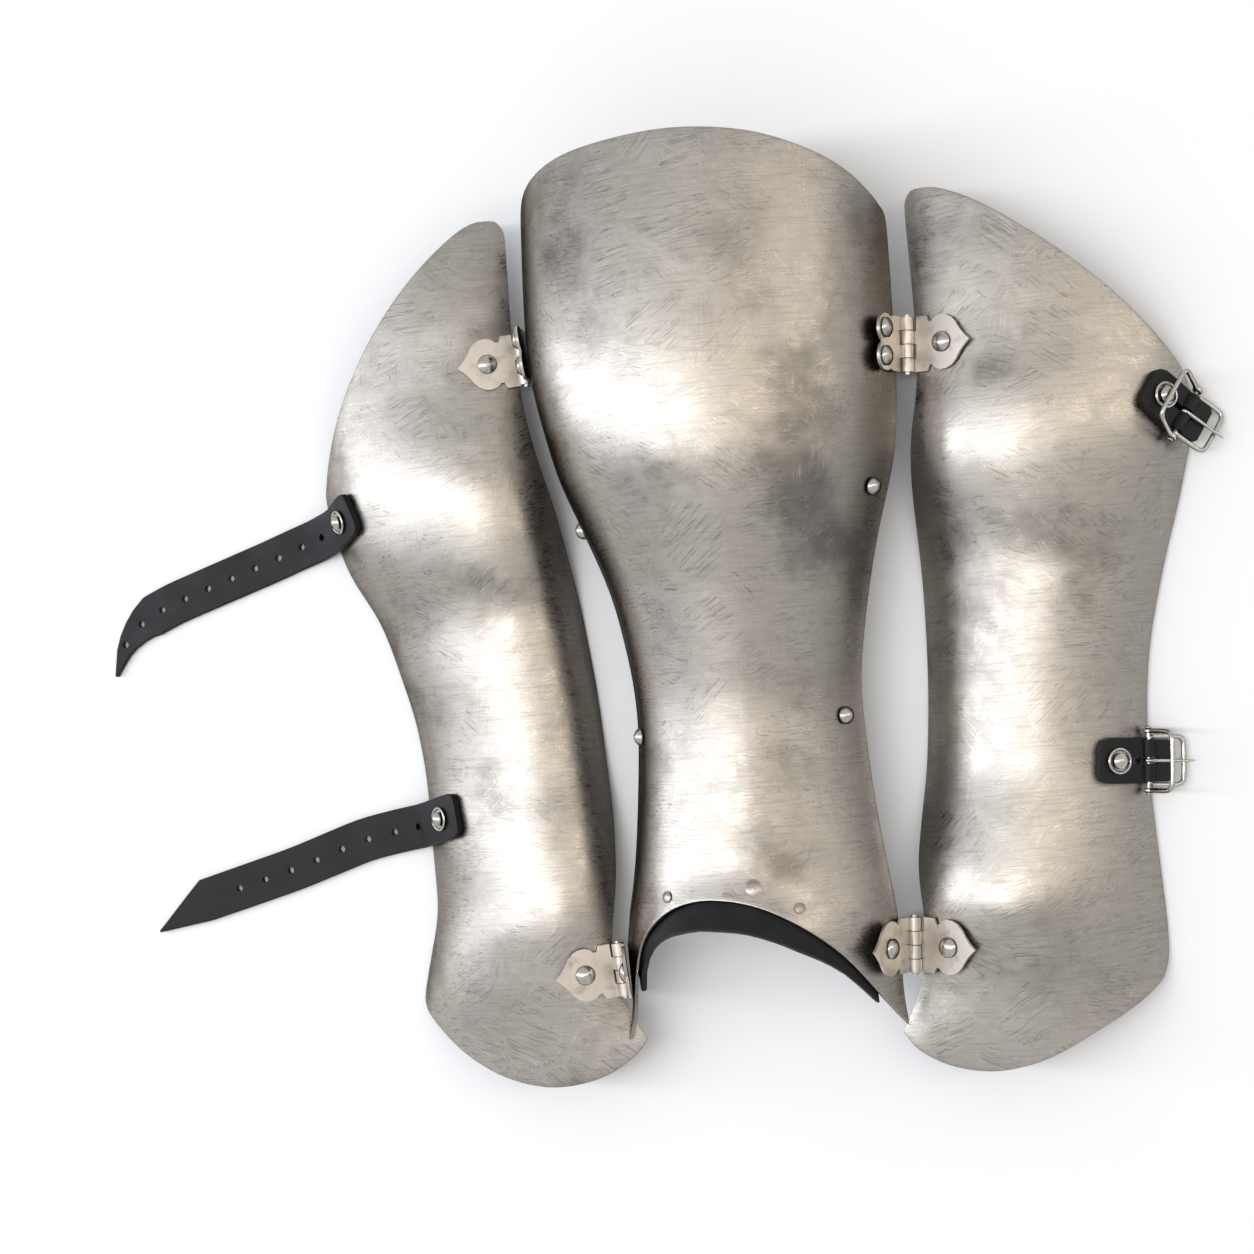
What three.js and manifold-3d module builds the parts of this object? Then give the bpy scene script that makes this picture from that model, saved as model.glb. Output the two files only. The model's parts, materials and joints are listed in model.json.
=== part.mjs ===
// A hinged steel greave, lying open with its plates' hollow sides down.
// Millimetres, +Z up. X runs across the shin and Y along it, with the knee end at +Y.
// The strap side is at -X and the buckle side at +X. The floor is Z = 0.

import * as THREE from "three";
import { mergeVertices } from "three/addons/utils/BufferGeometryUtils.js";
import Module from "manifold-3d";

const wasm = await Module();
wasm.setup();

// ---------------------------------------------------------------- driving sizes

const PLATE_THICKNESS = 1.5;
const LIP_WIDTH = 7;
const FOOT_LIP_WIDTH = 14;
const GAP = 0.3;

// Each side's hinge line runs straight through its two hinges.
const STRAP_SIDE = -1;
const BUCKLE_SIDE = 1;
const HINGE_HEIGHT = 22;
const STRAP_SIDE_HINGES_Y = { ankle: -2, knee: 254 };
const BUCKLE_SIDE_HINGES_Y = { ankle: 2, knee: 239 };
const ANKLE_HINGE_X = 61;
const KNEE_HINGE_X = 80;
const HINGE_LINES = {
  [STRAP_SIDE]: {
    low: new THREE.Vector3(-ANKLE_HINGE_X, STRAP_SIDE_HINGES_Y.ankle, HINGE_HEIGHT),
    high: new THREE.Vector3(-KNEE_HINGE_X, STRAP_SIDE_HINGES_Y.knee, HINGE_HEIGHT),
  },
  [BUCKLE_SIDE]: {
    low: new THREE.Vector3(ANKLE_HINGE_X, BUCKLE_SIDE_HINGES_Y.ankle, HINGE_HEIGHT),
    high: new THREE.Vector3(KNEE_HINGE_X, BUCKLE_SIDE_HINGES_Y.knee, HINGE_HEIGHT),
  },
};

const KNUCKLE_RADIUS = 2.7;
const KNUCKLE_COUNT = 4;
const PIN_RADIUS = 1.3;
const LEAF_THICKNESS = 1.2;

const HINGE_RIVET_RADIUS = 4.0;
const EDGE_RIVET_RADIUS = 3.6;
const WASHER_RADIUS = 5.2;
const WASHER_THICKNESS = 0.9;
const WASHER_RIVET_RADIUS = 3.2;

const STRAP_WIDTH = 19;
const STRAP_THICKNESS = 2.8;
const STRAP_HOLE_RADIUS = 1.6;
const HOLE_CUT = 3 * STRAP_THICKNESS;
const STRAP_TIP_HALF_WIDTH = 0.5;
const STRAP_RISE = 0.15;
const STRAP_RISE_AT_EDGE = 0.7;

const BUCKLE_WIRE_RADIUS = 0.9;
const BUCKLE_WIDTH = 20.8;
const BUCKLE_LENGTH = 16;

// ---------------------------------------------------------------- materials

const steel = new THREE.MeshStandardMaterial({ color: 0x9a9894, roughness: 0.35, metalness: 1 });
const nickel = new THREE.MeshStandardMaterial({ color: 0xd2cabf, roughness: 0.3, metalness: 1 });
const brightSteel = new THREE.MeshStandardMaterial({ color: 0xc4c3c0, roughness: 0.2, metalness: 1 });
const leather = new THREE.MeshStandardMaterial({ color: 0x18181a, roughness: 0.55, metalness: 0 });

const greave = new THREE.Group();

function addPiece(name, geometry, material) {
  const mesh = new THREE.Mesh(geometry, material);
  mesh.name = name;
  greave.add(mesh);
  return mesh;
}

// ---------------------------------------------------------------- small helpers

const radians = THREE.MathUtils.degToRad;

// A smooth curve through a few [position, value] pairs that never overshoots them.
function smoothThrough(pairs) {
  const last = pairs.length - 1;
  const slopes = pairs.map((pair, i) => {
    if (i === 0 || i === last) {
      return 0;
    }
    const before = (pair[1] - pairs[i - 1][1]) / (pair[0] - pairs[i - 1][0]);
    const after = (pairs[i + 1][1] - pair[1]) / (pairs[i + 1][0] - pair[0]);
    return before * after <= 0 ? 0 : (2 * before * after) / (before + after);
  });
  slopes[0] = (pairs[1][1] - pairs[0][1]) / (pairs[1][0] - pairs[0][0]);
  slopes[last] = (pairs[last][1] - pairs[last - 1][1]) / (pairs[last][0] - pairs[last - 1][0]);
  return (position) => {
    if (position <= pairs[0][0]) {
      return pairs[0][1] + slopes[0] * (position - pairs[0][0]);
    }
    if (position >= pairs[last][0]) {
      return pairs[last][1] + slopes[last] * (position - pairs[last][0]);
    }
    const i = pairs.findIndex((pair) => pair[0] > position) - 1;
    const span = pairs[i + 1][0] - pairs[i][0];
    const t = (position - pairs[i][0]) / span;
    const t2 = t * t;
    const t3 = t2 * t;
    return (
      (2 * t3 - 3 * t2 + 1) * pairs[i][1] +
      (t3 - 2 * t2 + t) * span * slopes[i] +
      (3 * t2 - 2 * t3) * pairs[i + 1][1] +
      (t3 - t2) * span * slopes[i + 1]
    );
  };
}

// A closed solid from rings of points: each ring joins the next, and both ends are capped flat.
function loftRings(rings) {
  const ringSize = rings[0].length;
  const positions = [];
  const indices = [];
  rings.forEach((ring) => ring.forEach((point) => positions.push(point.x, point.y, point.z)));
  for (let i = 0; i + 1 < rings.length; i += 1) {
    for (let j = 0; j < ringSize; j += 1) {
      const a = i * ringSize + j;
      const b = i * ringSize + ((j + 1) % ringSize);
      indices.push(a, b, b + ringSize, a, b + ringSize, a + ringSize);
    }
  }
  const lastRing = (rings.length - 1) * ringSize;
  for (let j = 1; j + 1 < ringSize; j += 1) {
    indices.push(0, j + 1, j);
    indices.push(lastRing, lastRing + j, lastRing + j + 1);
  }
  const geometry = new THREE.BufferGeometry();
  geometry.setAttribute("position", new THREE.Float32BufferAttribute(positions, 3));
  geometry.setIndex(indices);
  return facingOut(geometry);
}

// Turns the triangles round when the closed surface came out inside out.
function facingOut(geometry) {
  const index = geometry.index.array;
  const position = geometry.attributes.position;
  const a = new THREE.Vector3();
  const b = new THREE.Vector3();
  const c = new THREE.Vector3();
  let volume = 0;
  for (let i = 0; i < index.length; i += 3) {
    a.fromBufferAttribute(position, index[i]);
    b.fromBufferAttribute(position, index[i + 1]);
    c.fromBufferAttribute(position, index[i + 2]);
    volume += a.dot(b.cross(c));
  }
  if (volume < 0) {
    for (let i = 0; i < index.length; i += 3) {
      [index[i + 1], index[i + 2]] = [index[i + 2], index[i + 1]];
    }
  }
  return geometry;
}

function toSolid(geometry) {
  const plain = geometry.clone();
  plain.deleteAttribute("normal");
  plain.deleteAttribute("uv");
  const merged = mergeVertices(plain, 1e-4);
  const mesh = new wasm.Mesh({
    numProp: 3,
    vertProperties: new Float32Array(merged.attributes.position.array),
    triVerts: new Uint32Array(merged.index.array),
  });
  return new wasm.Manifold(mesh);
}

function toGeometry(solid) {
  const mesh = solid.getMesh();
  const geometry = new THREE.BufferGeometry();
  geometry.setAttribute("position", new THREE.Float32BufferAttribute(mesh.vertProperties, 3));
  geometry.setIndex(Array.from(mesh.triVerts));
  return geometry;
}

// ---------------------------------------------------------------- plate surfaces

// Spacing across a plate: narrow columns in the flared lip at both side edges, even ones between.
function plateColumns(count, lipShare) {
  const columns = [0, lipShare / 3, (2 * lipShare) / 3];
  for (let i = 0; i <= count; i += 1) {
    columns.push(lipShare + ((1 - 2 * lipShare) * i) / count);
  }
  columns.push(1 - (2 * lipShare) / 3, 1 - lipShare / 3, 1);
  return columns;
}

// How far an edge's flare stands out, from its full height at the edge to nothing at its width.
function flare(fromEdge, width, height) {
  return fromEdge < width ? height * (1 - fromEdge / width) ** 2 : 0;
}

// A plate's outer face. Across it (u from 0 to 1) is one swelling curve from edge to edge, which
// changes along Y; `foot` and `head` trim its two ends.
class PlateSurface {
  constructor({ start, end, startAngle, endAngle, fullness, foot, head, sideLip, footLip }) {
    this.startX = smoothThrough(start.map(([y, x]) => [y, x]));
    this.startZ = smoothThrough(start.map(([y, , z]) => [y, z]));
    this.endX = smoothThrough(end.map(([y, x]) => [y, x]));
    this.endZ = smoothThrough(end.map(([y, , z]) => [y, z]));
    this.startAngle = smoothThrough(startAngle);
    this.endAngle = smoothThrough(endAngle);
    this.fullness = smoothThrough(fullness);
    this.foot = smoothThrough(foot);
    this.head = smoothThrough(head);
    this.sideLip = smoothThrough(sideLip);
    this.footLip = smoothThrough(footLip);
    this.sections = new Map();
  }

  section(y) {
    const key = Math.round(y * 1000);
    if (!this.sections.has(key)) {
      const from = new THREE.Vector2(this.startX(y), this.startZ(y));
      const to = new THREE.Vector2(this.endX(y), this.endZ(y));
      const reach = this.fullness(y) * from.distanceTo(to);
      const rise = radians(this.startAngle(y));
      const fall = radians(this.endAngle(y));
      const outward = Math.sign(to.x - from.x);
      const curve = new THREE.CubicBezierCurve(
        from,
        new THREE.Vector2(from.x + outward * reach * Math.cos(rise), from.y + reach * Math.sin(rise)),
        new THREE.Vector2(to.x - outward * reach * Math.cos(fall), to.y + reach * Math.sin(fall)),
        to,
      );
      curve.arcLengthDivisions = 60;
      this.sections.set(key, curve);
    }
    return this.sections.get(key);
  }

  pointAt(u, y) {
    const curve = this.section(y);
    const point = curve.getPointAt(u);
    const tangent = curve.getTangentAt(u);
    const fromSide = Math.min(u, 1 - u) * curve.getLength();
    const fromFoot = y - this.foot(u);
    const sideLip = flare(fromSide, LIP_WIDTH, this.sideLip(y));
    const lip = sideLip + flare(fromFoot, FOOT_LIP_WIDTH, this.footLip(u));
    const turn = Math.sign(curve.v3.x - curve.v0.x);
    return new THREE.Vector3(point.x - turn * tangent.y * lip, y, point.y + turn * tangent.x * lip);
  }

  normalAt(u, y) {
    const step = 0.004;
    const across = this.pointAt(Math.min(u + step, 1), y).sub(this.pointAt(Math.max(u - step, 0), y));
    const along = this.pointAt(u, y + 0.5).sub(this.pointAt(u, y - 0.5));
    const normal = new THREE.Vector3().crossVectors(across, along).normalize();
    return across.x < 0 ? normal.negate() : normal;
  }

  yAt(u, v) {
    return THREE.MathUtils.lerp(this.foot(u), this.head(u), v);
  }

  // The share of the section's length that lies `distance` from its start.
  shareAt(distance, y) {
    return distance / this.section(y).getLength();
  }
}

function plateGeometry(surface, columnCount, rowCount, lipShare) {
  const columns = plateColumns(columnCount, lipShare);
  const outer = [];
  const inner = [];
  for (let row = 0; row <= rowCount; row += 1) {
    const outerRow = [];
    const innerRow = [];
    columns.forEach((u) => {
      const y = surface.yAt(u, row / rowCount);
      const point = surface.pointAt(u, y);
      const normal = surface.normalAt(u, y);
      outerRow.push(point);
      innerRow.push(point.clone().addScaledVector(normal, -PLATE_THICKNESS));
    });
    outer.push(outerRow);
    inner.push(innerRow.reverse());
  }
  const rings = outer.map((row, i) => [...row, ...inner[i]]);
  return loftPlate(rings, columns.length);
}

// Joins the rows of a plate, whose ring runs out along the outer face and back along the inner one.
function loftPlate(rings, width) {
  const size = rings[0].length;
  const positions = rings.flat().flatMap((point) => [point.x, point.y, point.z]);
  const indices = [];
  for (let i = 0; i + 1 < rings.length; i += 1) {
    for (let j = 0; j < size; j += 1) {
      const a = i * size + j;
      const b = i * size + ((j + 1) % size);
      indices.push(a, b, b + size, a, b + size, a + size);
    }
  }
  const lastRing = (rings.length - 1) * size;
  for (let j = 0; j + 1 < width; j += 1) {
    const k = size - 1 - j;
    indices.push(j + 1, j, k, j + 1, k, k - 1);
    indices.push(lastRing + j, lastRing + j + 1, lastRing + k - 1);
    indices.push(lastRing + j, lastRing + k - 1, lastRing + k);
  }
  const geometry = new THREE.BufferGeometry();
  geometry.setAttribute("position", new THREE.Float32BufferAttribute(positions, 3));
  geometry.setIndex(indices);
  return facingOut(geometry);
}

// ---------------------------------------------------------------- the three plates

// Edges are [y, x, z] from the foot end to the knee end; trims are [share across, y].
const frontSurface = new PlateSurface({
  start: [
    [-34, -61, 22.5], [-16, -56.2, 24], [-2, -56.8, 24.5], [11, -56.5, 24.5], [29, -51.8, 24],
    [61, -47, 23], [103, -43.5, 22], [145, -48.5, 22], [178, -59, 23], [208, -69.5, 24],
    [254, -76.2, 24.5], [325, -73.5, 25],
  ],
  end: [
    [-34, 57, 25.2], [-14, 55.2, 25.4], [2, 56, 24.6], [15, 55.6, 24.4], [29, 53.5, 24.2],
    [71, 49.5, 23.4], [103, 48.5, 23.2], [133, 53, 23.2], [164, 60.5, 23.4], [201, 71.5, 23.9],
    [239, 75.4, 24.4], [310, 77, 26],
  ],
  startAngle: [[-34, 74], [20, 72], [100, 76], [180, 80], [254, 84], [325, 80]],
  endAngle: [[-34, 54], [20, 56], [100, 62], [180, 66], [239, 64], [325, 66]],
  fullness: [[-34, 0.42], [30, 0.47], [80, 0.5], [140, 0.53], [230, 0.5], [325, 0.46]],
  foot: [
    [0, -31], [0.05, -16], [0.12, 4], [0.2, 17], [0.3, 25.5], [0.4, 28.5], [0.5, 27],
    [0.6, 22], [0.7, 13.5], [0.8, 2], [0.9, -13], [1, -29],
  ],
  head: [
    [0, 301], [0.04, 309], [0.12, 317.5], [0.3, 325], [0.5, 326.5], [0.65, 323.5], [0.8, 315],
    [0.93, 303], [1, 291],
  ],
  sideLip: [[-34, 0.3], [2, 0.1], [30, 1], [200, 1], [245, 0.1], [275, 0.4], [325, 0.4]],
  footLip: [[0, 0], [0.16, 0.1], [0.36, 2.4], [0.64, 2.4], [0.82, 0.3], [1, 0]],
});

const strapSurface = new PlateSurface({
  start: [
    [-50, -54, 17], [-34, -53.5, 17], [-26, -57.2, 17.5], [-11, -64, 19.2], [10, -65.5, 19.2],
    [29, -63, 13.5], [47, -63.2, 9], [61, -63.6, 6], [80, -65.6, 2.4], [112, -67.5, 0.7],
    [146, -71, 0.8], [165, -72.8, 5], [180, -74.2, 9.5], [195, -75.6, 14], [212, -79.5, 17.5],
    [240, -83.3, 19.2], [266, -85, 19], [320, -85, 15],
  ],
  end: [
    [-50, -157, 6], [-15, -157, 2], [0, -154, 1], [29, -147, 1], [77, -147, 1], [101, -149, 1],
    [127, -155, 1], [150, -162, 1], [174, -175, 1], [191, -180, 1], [212, -183, 2], [320, -183, 6],
  ],
  startAngle: [[-50, 20], [0, 34], [40, 70], [110, 78], [160, 76], [210, 50], [250, 34], [320, 34]],
  endAngle: [[-50, 42], [0, 52], [110, 58], [210, 52], [320, 40]],
  fullness: [[-50, 0.33], [0, 0.37], [60, 0.4], [110, 0.4], [160, 0.38], [220, 0.36], [320, 0.34]],
  foot: [
    [0, -32], [0.07, -40], [0.2, -47], [0.36, -49.5], [0.52, -46.5], [0.72, -36.5], [0.9, -23],
    [0.97, -18], [1, -13],
  ],
  head: [
    [0, 309], [0.04, 314], [0.12, 314.5], [0.25, 306], [0.4, 292.5], [0.6, 270], [0.8, 243.5],
    [0.93, 223], [1, 207],
  ],
  sideLip: [[-50, 0.3], [0, 0.1], [40, 0.6], [200, 0.6], [248, 0.1], [320, 0.3]],
  footLip: [[0, 0.3], [1, 0.3]],
});

const buckleSurface = new PlateSurface({
  start: [
    [-50, 53.5, 17.5], [-34, 52.5, 17.5], [-26, 56.8, 17.8], [-8, 64, 19.2], [12, 65.5, 19.2],
    [28, 63.5, 13], [48, 66, 6.5], [75, 70.5, 1.2], [115, 74, 0.7], [148, 75, 1], [170, 75, 6],
    [186, 75.5, 12], [203, 77.5, 16.5], [225, 82.5, 19.2], [252, 83.5, 19], [310, 83, 17],
  ],
  end: [
    [-50, 158, 6], [-15, 157, 2], [0, 158, 1], [27, 157, 1], [60, 156, 1], [81, 157, 1], [107, 160, 1],
    [139, 168, 1], [177, 180, 1], [205, 186, 1], [220, 186, 2], [310, 184, 6],
  ],
  startAngle: [[-50, 20], [0, 34], [40, 58], [110, 64], [160, 62], [205, 46], [240, 34], [310, 34]],
  endAngle: [[-50, 42], [0, 52], [110, 58], [210, 52], [310, 40]],
  fullness: [[-50, 0.33], [0, 0.37], [60, 0.4], [110, 0.4], [160, 0.38], [220, 0.36], [310, 0.34]],
  foot: [
    [0, -33], [0.06, -41], [0.18, -47], [0.32, -49], [0.48, -46], [0.7, -35], [0.9, -23.5],
    [0.97, -18], [1, -11],
  ],
  head: [
    [0, 296], [0.04, 300.5], [0.1, 300.5], [0.25, 293.5], [0.45, 277.5], [0.65, 258], [0.85, 235],
    [0.96, 220], [1, 209],
  ],
  sideLip: [[-50, 0.3], [0, 0.1], [40, 0.6], [200, 0.6], [248, 0.1], [320, 0.3]],
  footLip: [[0, 0.3], [1, 0.3]],
});

addPiece("front_plate", plateGeometry(frontSurface, 18, 26, 0.035), steel);
addPiece("strap_wing", plateGeometry(strapSurface, 12, 26, 0.055), steel);
addPiece("buckle_wing", plateGeometry(buckleSurface, 12, 26, 0.055), steel);

// ---------------------------------------------------------------- hinges

const LEAF_TIP = 27.6;
const TWIN_LEAF_LENGTH = 20.5;
const LEAF_HALF_WIDTH = 11;
const LEAF_START = KNUCKLE_RADIUS + 0.5;
const RIVET_FROM_AXIS = 15;
const TWIN_RIVET_OFFSET = 5.5;
const KNUCKLE_LENGTH = (2 * LEAF_HALF_WIDTH) / KNUCKLE_COUNT;

function mirroredOutline(shape, drawHalf) {
  const half = new THREE.Path();
  drawHalf(half);
  const points = half.getPoints(5);
  const back = points.map((point) => new THREE.Vector2(point.x, -point.y)).reverse();
  return shape.setFromPoints([...points, ...back.slice(Math.abs(back[0].y) < 1e-6 ? 1 : 0)]);
}

// A square shoulder, a notch, and a round lobe that draws out to a point.
function ogeeOutline() {
  return mirroredOutline(new THREE.Shape(), (path) => {
    path.moveTo(LEAF_START, -LEAF_HALF_WIDTH);
    path.lineTo(8, -LEAF_HALF_WIDTH);
    path.lineTo(9, -8.6);
    path.lineTo(10.3, -8.6);
    path.bezierCurveTo(12.5, -11.8, 18.5, -11.8, 21.5, -7.2);
    path.quadraticCurveTo(23.4, -3.4, LEAF_TIP, 0);
  });
}

// A square shoulder ending in two round lobes, side by side.
function twinLobeOutline() {
  return mirroredOutline(new THREE.Shape(), (path) => {
    path.moveTo(LEAF_START, -LEAF_HALF_WIDTH);
    path.lineTo(9, -LEAF_HALF_WIDTH);
    path.lineTo(10.5, -10);
    path.bezierCurveTo(13, -12.2, TWIN_LEAF_LENGTH, -12, TWIN_LEAF_LENGTH, -5.6);
    path.quadraticCurveTo(20.2, -1.8, 17.2, 0);
  });
}

// A leaf lies in its own frame: its pin is the Y axis and it reaches out along +X.
function leafGeometry(outline, slots) {
  const depth = LEAF_THICKNESS;
  const plate = new THREE.ExtrudeGeometry(outline, { depth, bevelEnabled: false });
  let solid = toSolid(plate.translate(0, 0, -KNUCKLE_RADIUS));
  slots.forEach((slot) => {
    const middle = (slot + 0.5) * KNUCKLE_LENGTH - LEAF_HALF_WIDTH;
    const length = KNUCKLE_LENGTH - GAP;
    const barrel = new THREE.CylinderGeometry(KNUCKLE_RADIUS, KNUCKLE_RADIUS, length, 12);
    const tail = new THREE.BoxGeometry(LEAF_START + 1, length, depth);
    tail.translate((LEAF_START + 1) / 2, 0, depth / 2 - KNUCKLE_RADIUS);
    solid = solid.add(toSolid(barrel.translate(0, middle, 0)));
    solid = solid.add(toSolid(tail.translate(0, middle, 0)));
  });
  const boreRadius = PIN_RADIUS + GAP;
  const bore = new THREE.CylinderGeometry(boreRadius, boreRadius, 4 * LEAF_HALF_WIDTH, 10);
  return toGeometry(solid.subtract(toSolid(bore)));
}

// A domed rivet head standing on Z = 0.
function domeGeometry(radius, height, rings = 3, sides = 12) {
  const sphere = (radius * radius + height * height) / (2 * height);
  const sweep = Math.asin(radius / sphere);
  const profile = [new THREE.Vector2(0, 0), new THREE.Vector2(radius, 0)];
  for (let i = 1; i < rings; i += 1) {
    const angle = sweep * (1 - i / rings);
    profile.push(new THREE.Vector2(sphere * Math.sin(angle), height - sphere * (1 - Math.cos(angle))));
  }
  profile.push(new THREE.Vector2(0, height));
  return new THREE.LatheGeometry(profile, sides).rotateX(Math.PI / 2);
}

function frameMatrix(origin, x, y, z) {
  return new THREE.Matrix4().makeBasis(x, y, z).setPosition(origin);
}

function placePiece(name, geometry, material, matrix) {
  const mesh = addPiece(name, geometry, material);
  mesh.applyMatrix4(matrix);
  return mesh;
}

function pointOnHingeLine(side, y) {
  const { low, high } = HINGE_LINES[side];
  return low.clone().lerp(high, (y - low.y) / (high.y - low.y));
}

// The plate's points that a leaf covers: `fromStart` says which side edge the hinge is on.
function coveredPoints(surface, fromStart, y, reach) {
  const points = [];
  for (let across = 0; across <= reach; across += 1) {
    for (let along = -LEAF_HALF_WIDTH; along <= LEAF_HALF_WIDTH; along += LEAF_HALF_WIDTH / 4) {
      const share = surface.shareAt(across, y + along);
      const u = fromStart ? share : 1 - share;
      if (y + along >= surface.foot(u)) {
        points.push(surface.pointAt(u, y + along));
      }
    }
  }
  return points;
}

// Turns a leaf about its pin until it just clears its plate. `reach` is +1 on a wing, whose leaf
// reaches away from the shin, and -1 on the front plate.
function leafFrame(side, surface, fromStart, y, reach, length) {
  const { low, high } = HINGE_LINES[side];
  const pin = high.clone().sub(low).normalize();
  const origin = pointOnHingeLine(side, y);
  const up = new THREE.Vector3(0, 0, 1);
  const outward = new THREE.Vector3().crossVectors(pin, up).multiplyScalar(side * reach).normalize();
  const arms = coveredPoints(surface, fromStart, y, length - 3).map((point) => point.sub(origin));
  let least = 0;
  let most = Math.PI / 2;
  let normal = up;
  let along = outward;
  for (let i = 0; i < 40; i += 1) {
    const angle = (least + most) / 2;
    along = outward.clone().multiplyScalar(Math.cos(angle)).addScaledVector(up, Math.sin(angle));
    normal = outward.clone().multiplyScalar(-Math.sin(angle)).addScaledVector(up, Math.cos(angle));
    const beneath = arms.filter((arm) => arm.dot(along) > 0);
    const clearance = Math.min(...beneath.map((arm) => -arm.dot(normal)));
    if (clearance > KNUCKLE_RADIUS + GAP) {
      most = angle;
    } else {
      least = angle;
    }
  }
  const across = new THREE.Vector3().crossVectors(normal, along);
  return { matrix: frameMatrix(origin, along, across, normal), flip: across.dot(pin) < 0 };
}

function addRivetOnLeaf(name, matrix, x, y) {
  const seat = LEAF_THICKNESS - KNUCKLE_RADIUS + GAP;
  const dome = domeGeometry(HINGE_RIVET_RADIUS, 2.3).translate(x, y, seat);
  placePiece(name, dome, brightSteel, matrix);
}

function addHinge(name, side, surface, y, frontOutline) {
  const frontLength = frontOutline === twinLobeOutline ? TWIN_LEAF_LENGTH : LEAF_TIP;
  const wing = leafFrame(side, surface, true, y, 1, LEAF_TIP);
  const front = leafFrame(side, frontSurface, side === STRAP_SIDE, y, -1, frontLength);
  const wingSlots = wing.flip ? [1, 3] : [0, 2];
  const frontSlots = front.flip ? [0, 2] : [1, 3];
  placePiece(`${name}_wing_leaf`, leafGeometry(ogeeOutline(), wingSlots), nickel, wing.matrix);
  addRivetOnLeaf(`${name}_wing_rivet`, wing.matrix, RIVET_FROM_AXIS, 0);
  placePiece(`${name}_front_leaf`, leafGeometry(frontOutline(), frontSlots), nickel, front.matrix);
  if (frontOutline === twinLobeOutline) {
    addRivetOnLeaf(`${name}_front_rivet_1`, front.matrix, RIVET_FROM_AXIS, -TWIN_RIVET_OFFSET);
    addRivetOnLeaf(`${name}_front_rivet_2`, front.matrix, RIVET_FROM_AXIS, TWIN_RIVET_OFFSET);
  } else {
    addRivetOnLeaf(`${name}_front_rivet`, front.matrix, RIVET_FROM_AXIS, 0);
  }
  const pinLength = 2 * (LEAF_HALF_WIDTH + 0.9);
  const pin = new THREE.CylinderGeometry(PIN_RADIUS, PIN_RADIUS, pinLength, 12);
  placePiece(`${name}_pin`, pin, nickel, wing.matrix);
}

addHinge("strap_knee_hinge", STRAP_SIDE, strapSurface, STRAP_SIDE_HINGES_Y.knee, twinLobeOutline);
addHinge("strap_ankle_hinge", STRAP_SIDE, strapSurface, STRAP_SIDE_HINGES_Y.ankle, ogeeOutline);
addHinge("buckle_knee_hinge", BUCKLE_SIDE, buckleSurface, BUCKLE_SIDE_HINGES_Y.knee, twinLobeOutline);
addHinge("buckle_ankle_hinge", BUCKLE_SIDE, buckleSurface, BUCKLE_SIDE_HINGES_Y.ankle, ogeeOutline);

// ---------------------------------------------------------------- rivets on the front plate

// A frame on a plate's outer face, `lift` above it: X across the plate, Y along it, Z outward.
function frameOnPlate(surface, u, y, lift) {
  const normal = surface.normalAt(u, y);
  const along = new THREE.Vector3(0, 1, 0);
  along.addScaledVector(normal, -along.dot(normal)).normalize();
  const across = new THREE.Vector3().crossVectors(along, normal);
  return frameMatrix(surface.pointAt(u, y).addScaledVector(normal, lift), across, along, normal);
}

const EDGE_RIVETS = [
  ["strap_side_rivet_1", 0, 93],
  ["strap_side_rivet_2", 0, 179],
  ["buckle_side_rivet_1", 1, 95],
  ["buckle_side_rivet_2", 1, 184],
];
const EDGE_RIVET_INSET = 10;
const EDGE_RIVET_SEAT = 0.6;

EDGE_RIVETS.forEach(([name, side, y]) => {
  const share = frontSurface.shareAt(EDGE_RIVET_INSET, y);
  const matrix = frameOnPlate(frontSurface, Math.abs(side - share), y, EDGE_RIVET_SEAT);
  placePiece(name, domeGeometry(EDGE_RIVET_RADIUS, 3), brightSteel, matrix);
});

// The arch rivets are filed almost flush: [name, share across, distance above the arch, radius].
const ARCH_RIVETS = [
  ["arch_rivet_1", 0.27, 6, 2.4],
  ["arch_rivet_2", 0.55, 7, 3.2],
  ["arch_rivet_3", 0.68, 7, 2.2],
];

const ARCH_RIVET_SEAT = 0.6;

ARCH_RIVETS.forEach(([name, u, above, radius]) => {
  const matrix = frameOnPlate(frontSurface, u, frontSurface.foot(u) + above, ARCH_RIVET_SEAT);
  placePiece(name, domeGeometry(radius, 0.5, 2, 12), steel, matrix);
});

// ---------------------------------------------------------------- the leather liner of the arch

const LINER_THICKNESS = 2.6;
const LINER_GAP = 0.7;
const LINER_COLUMNS = 24;
const LINER_ROWS = 5;
const LINER_START = 0.08;

// How far the liner shows below the arch, and how far it runs up behind it.
const linerDrop = smoothThrough([
  [0, 1.5], [0.1, 4], [0.25, 8], [0.45, 9.5], [0.6, 9], [0.8, 6], [0.93, 2.5], [1, 1],
]);
const linerRise = smoothThrough([[0, 9], [0.2, 14], [0.5, 15], [0.8, 14], [1, 9]]);

function linerGeometry() {
  const rings = [];
  for (let i = 0; i <= LINER_COLUMNS; i += 1) {
    const u = THREE.MathUtils.lerp(LINER_START, 1 - LINER_START, i / LINER_COLUMNS);
    const outer = [];
    const inner = [];
    const foot = frontSurface.foot(u);
    for (let j = 0; j <= LINER_ROWS; j += 1) {
      const y = THREE.MathUtils.lerp(foot - linerDrop(u), foot + linerRise(u), j / LINER_ROWS);
      const point = frontSurface.pointAt(u, y);
      const normal = frontSurface.normalAt(u, y);
      outer.push(point.clone().addScaledVector(normal, -PLATE_THICKNESS - LINER_GAP));
      inner.push(point.addScaledVector(normal, -PLATE_THICKNESS - LINER_GAP - LINER_THICKNESS));
    }
    rings.push([...outer, ...inner.reverse()]);
  }
  return loftPlate(rings, LINER_ROWS + 1);
}

addPiece("arch_liner", linerGeometry(), leather);

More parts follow.
